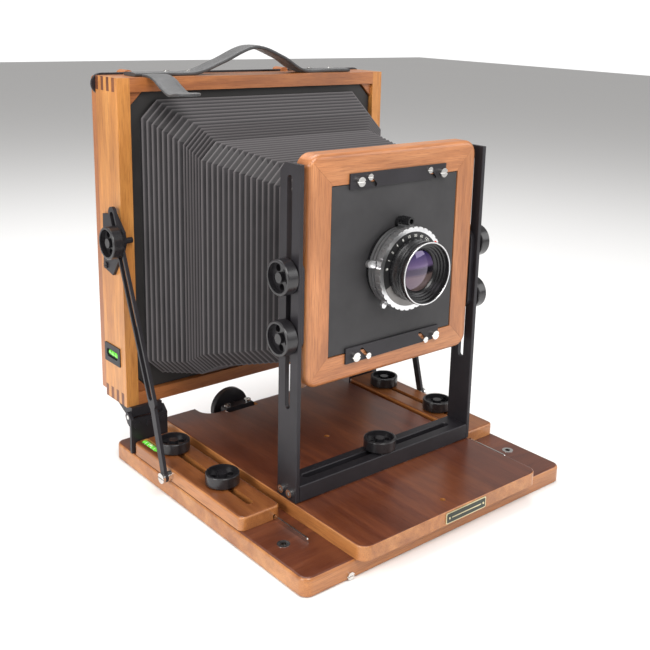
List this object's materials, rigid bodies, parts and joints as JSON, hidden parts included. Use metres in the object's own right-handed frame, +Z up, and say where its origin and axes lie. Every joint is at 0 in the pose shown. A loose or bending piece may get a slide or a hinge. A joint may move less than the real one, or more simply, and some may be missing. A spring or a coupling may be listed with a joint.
{
  "type": "large format view camera",
  "caption": "Folding wooden large format view camera with pleated bellows, geared focusing bed, tilting rear frame and lens standard with rise, shift, swing and tilt.",
  "frame": {"origin": "mouth of the tripod socket, in the middle of the base board's underside", "axes": "+Z up out of the base, -Y the way the lens looks, +X to the right as seen from the lens side"},
  "size_m": [0.335, 0.3306, 0.3844],
  "materials": {
    "mahogany_top": "satin oiled dark reddish wood",
    "golden_wood": "satin oiled golden brown wood",
    "black_anodised": "satin black anodised",
    "steel": "polished",
    "brass": "turned",
    "pale_aluminium": "satin",
    "lens_glass": "coated",
    "ground_glass": "ground matt",
    "level_green": "clear vial",
    "bellows_cloth": "matt pleated",
    "dark_leather": "semi matt"
  },
  "bodies": {
    "base": {"base_board": "mahogany_top", "tripod_bushing": "brass", "guide_strips": "steel", "base_fasteners": "steel", "screw_bearing": "black_anodised", "rail_studs": "steel"},
    "focus_drive": {"focus_wheel": "black_anodised", "lead_screw": "steel"},
    "focusing_bed": {"focusing_board": "mahogany_top", "lead_nut": "brass", "standard_stud": "steel"},
    "swing_plate": {"swing_plate": "pale_aluminium"},
    "front_standard": {"crossbar": "black_anodised", "left_upright": "black_anodised", "right_upright": "black_anodised", "foot_screws": "steel"},
    "rise_carriage": {"carriage_plates": "black_anodised"},
    "lens_panel": {"lens_panel": "golden_wood", "tilt_bolts": "steel", "lens_board": "black_anodised", "slider_screws": "steel", "shutter_body": "black_anodised", "front_barrel": "black_anodised", "rear_barrel": "black_anodised", "lens_glass": "lens_glass"},
    "top_slider": {"top_slider": "black_anodised"},
    "bottom_slider": {"bottom_slider": "black_anodised"},
    "speed_ring": {"speed_ring": "pale_aluminium"},
    "aperture_lever": {"aperture_lever": "pale_aluminium"},
    "cocking_lever": {"cocking_lever": "pale_aluminium"},
    "release_lever": {"release_lever": "pale_aluminium"},
    "rear_carriage": {"left_block": "mahogany_top", "right_block": "mahogany_top", "block_level": "level_green", "hinge_plates": "black_anodised", "hinge_pins": "steel", "strut_pivots": "steel"},
    "rear_struts": {"left_strut": "black_anodised", "right_strut": "black_anodised"},
    "rear_frame": {"frame_sides": "golden_wood", "frame_rails": "golden_wood", "hinge_leaves": "black_anodised", "strut_brackets": "black_anodised", "frame_level": "black_anodised", "carry_handle": "dark_leather", "closure_strap": "dark_leather", "bellows": "bellows_cloth"},
    "spring_back": {"back_frame": "golden_wood", "ground_glass": "ground_glass"},
    "left_front_rail_knob": {"left_front_rail_knob": "black_anodised"},
    "left_rear_rail_knob": {"left_rear_rail_knob": "black_anodised"},
    "left_tilt_knob": {"left_tilt_knob": "black_anodised"},
    "left_rise_knob": {"left_rise_knob": "black_anodised"},
    "left_strut_knob": {"left_strut_knob": "black_anodised"},
    "right_front_rail_knob": {"right_front_rail_knob": "black_anodised"},
    "right_rear_rail_knob": {"right_rear_rail_knob": "black_anodised"},
    "right_tilt_knob": {"right_tilt_knob": "black_anodised"},
    "right_rise_knob": {"right_rise_knob": "black_anodised"},
    "right_strut_knob": {"right_strut_knob": "black_anodised"},
    "crossbar_knob": {"crossbar_knob": "black_anodised"}
  },
  "joints": [
    {"name": "focus_travel", "type": "slide", "parent": "base", "child": "focusing_bed", "axis": [0, -1, 0], "range_m": [0, 0.065]},
    {"name": "focus_wheel_turn", "type": "hinge", "parent": "base", "child": "focus_drive", "pos_m": [-0.027, 0.124, 0.0212], "axis": [0, 1, 0], "range_deg": [0, 2400]},
    {"name": "front_swing", "type": "hinge", "parent": "focusing_bed", "child": "swing_plate", "pos_m": [0, -0.06, 0.029], "axis": [0, 0, 1], "range_deg": [-8, 8]},
    {"name": "front_shift", "type": "slide", "parent": "swing_plate", "child": "front_standard", "axis": [1, 0, 0], "range_m": [-0.015, 0.015]},
    {"name": "front_rise", "type": "slide", "parent": "front_standard", "child": "rise_carriage", "axis": [0, 0, 1], "range_m": [-0.025, 0.035]},
    {"name": "front_tilt", "type": "hinge", "parent": "rise_carriage", "child": "lens_panel", "pos_m": [0, -0.06, 0.219], "axis": [1, 0, 0], "range_deg": [-8, 8]},
    {"name": "top_slider_release", "type": "slide", "parent": "lens_panel", "child": "top_slider", "axis": [-0.7071, 0, 0.7071], "range_m": [0, 0.009]},
    {"name": "bottom_slider_release", "type": "slide", "parent": "lens_panel", "child": "bottom_slider", "axis": [0.7071, 0, -0.7071], "range_m": [0, 0.009]},
    {"name": "speed_ring_turn", "type": "hinge", "parent": "lens_panel", "child": "speed_ring", "pos_m": [0, -0.088, 0.2153], "axis": [0, -1, 0], "range_deg": [-75, 75]},
    {"name": "aperture_lever_turn", "type": "hinge", "parent": "lens_panel", "child": "aperture_lever", "pos_m": [0, -0.0795, 0.2153], "axis": [0, -1, 0], "range_deg": [-30, 45]},
    {"name": "cocking_lever_turn", "type": "hinge", "parent": "lens_panel", "child": "cocking_lever", "pos_m": [0, -0.083, 0.2153], "axis": [0, -1, 0], "range_deg": [-40, 0]},
    {"name": "release_lever_turn", "type": "hinge", "parent": "lens_panel", "child": "release_lever", "pos_m": [0, -0.076, 0.2153], "axis": [0, -1, 0], "range_deg": [0, 12], "stiffness_Nm_per_rad": 0.05, "springref_deg": -5.73},
    {"name": "rear_travel", "type": "slide", "parent": "base", "child": "rear_carriage", "axis": [0, 1, 0], "range_m": [-0.005, 0.035]},
    {"name": "rear_tilt", "type": "hinge", "parent": "rear_carriage", "child": "rear_frame", "pos_m": [0, 0.1185, 0.05], "axis": [1, 0, 0], "range_deg": [-8, 8], "deforming": ["bellows"]},
    {"name": "strut_swing", "type": "hinge", "parent": "rear_carriage", "child": "rear_struts", "pos_m": [0, 0.045, 0.0215], "axis": [1, 0, 0], "range_deg": [-8, 8]},
    {"name": "spring_back_open", "type": "slide", "parent": "rear_frame", "child": "spring_back", "axis": [0, 1, 0], "range_m": [0, 0.014], "stiffness_N_per_m": 600, "springref_m": -0.01},
    {"name": "left_front_rail_knob_turn", "type": "hinge", "parent": "base", "child": "left_front_rail_knob", "pos_m": [-0.129, -0.005, 0.029], "axis": [0, 0, 1], "range_deg": [0, 180]},
    {"name": "left_rear_rail_knob_turn", "type": "hinge", "parent": "base", "child": "left_rear_rail_knob", "pos_m": [-0.129, 0.075, 0.029], "axis": [0, 0, 1], "range_deg": [0, 180]},
    {"name": "left_tilt_knob_turn", "type": "hinge", "parent": "rise_carriage", "child": "left_tilt_knob", "pos_m": [-0.104, -0.06, 0.219], "axis": [-1, 0, 0], "range_deg": [0, 180]},
    {"name": "left_rise_knob_turn", "type": "hinge", "parent": "rise_carriage", "child": "left_rise_knob", "pos_m": [-0.104, -0.06, 0.1695], "axis": [-1, 0, 0], "range_deg": [0, 180]},
    {"name": "left_strut_knob_turn", "type": "hinge", "parent": "rear_frame", "child": "left_strut_knob", "pos_m": [-0.1575, 0.1165, 0.2175], "axis": [-1, 0, 0], "range_deg": [0, 180]},
    {"name": "right_front_rail_knob_turn", "type": "hinge", "parent": "base", "child": "right_front_rail_knob", "pos_m": [0.129, -0.005, 0.029], "axis": [0, 0, 1], "range_deg": [0, 180]},
    {"name": "right_rear_rail_knob_turn", "type": "hinge", "parent": "base", "child": "right_rear_rail_knob", "pos_m": [0.129, 0.075, 0.029], "axis": [0, 0, 1], "range_deg": [0, 180]},
    {"name": "right_tilt_knob_turn", "type": "hinge", "parent": "rise_carriage", "child": "right_tilt_knob", "pos_m": [0.104, -0.06, 0.219], "axis": [1, 0, 0], "range_deg": [0, 180]},
    {"name": "right_rise_knob_turn", "type": "hinge", "parent": "rise_carriage", "child": "right_rise_knob", "pos_m": [0.104, -0.06, 0.1695], "axis": [1, 0, 0], "range_deg": [0, 180]},
    {"name": "right_strut_knob_turn", "type": "hinge", "parent": "rear_frame", "child": "right_strut_knob", "pos_m": [0.1575, 0.1165, 0.2175], "axis": [1, 0, 0], "range_deg": [0, 180]},
    {"name": "crossbar_knob_turn", "type": "hinge", "parent": "focusing_bed", "child": "crossbar_knob", "pos_m": [0, -0.06, 0.0445], "axis": [0, 0, 1], "range_deg": [0, 180]}
  ],
  "couplings": [
    {"joint": "focus_wheel_turn", "follows": "focus_travel", "rad_per_m": 628.32},
    {"joint": "strut_swing", "follows": "rear_tilt", "ratio": 0.743}
  ]
}
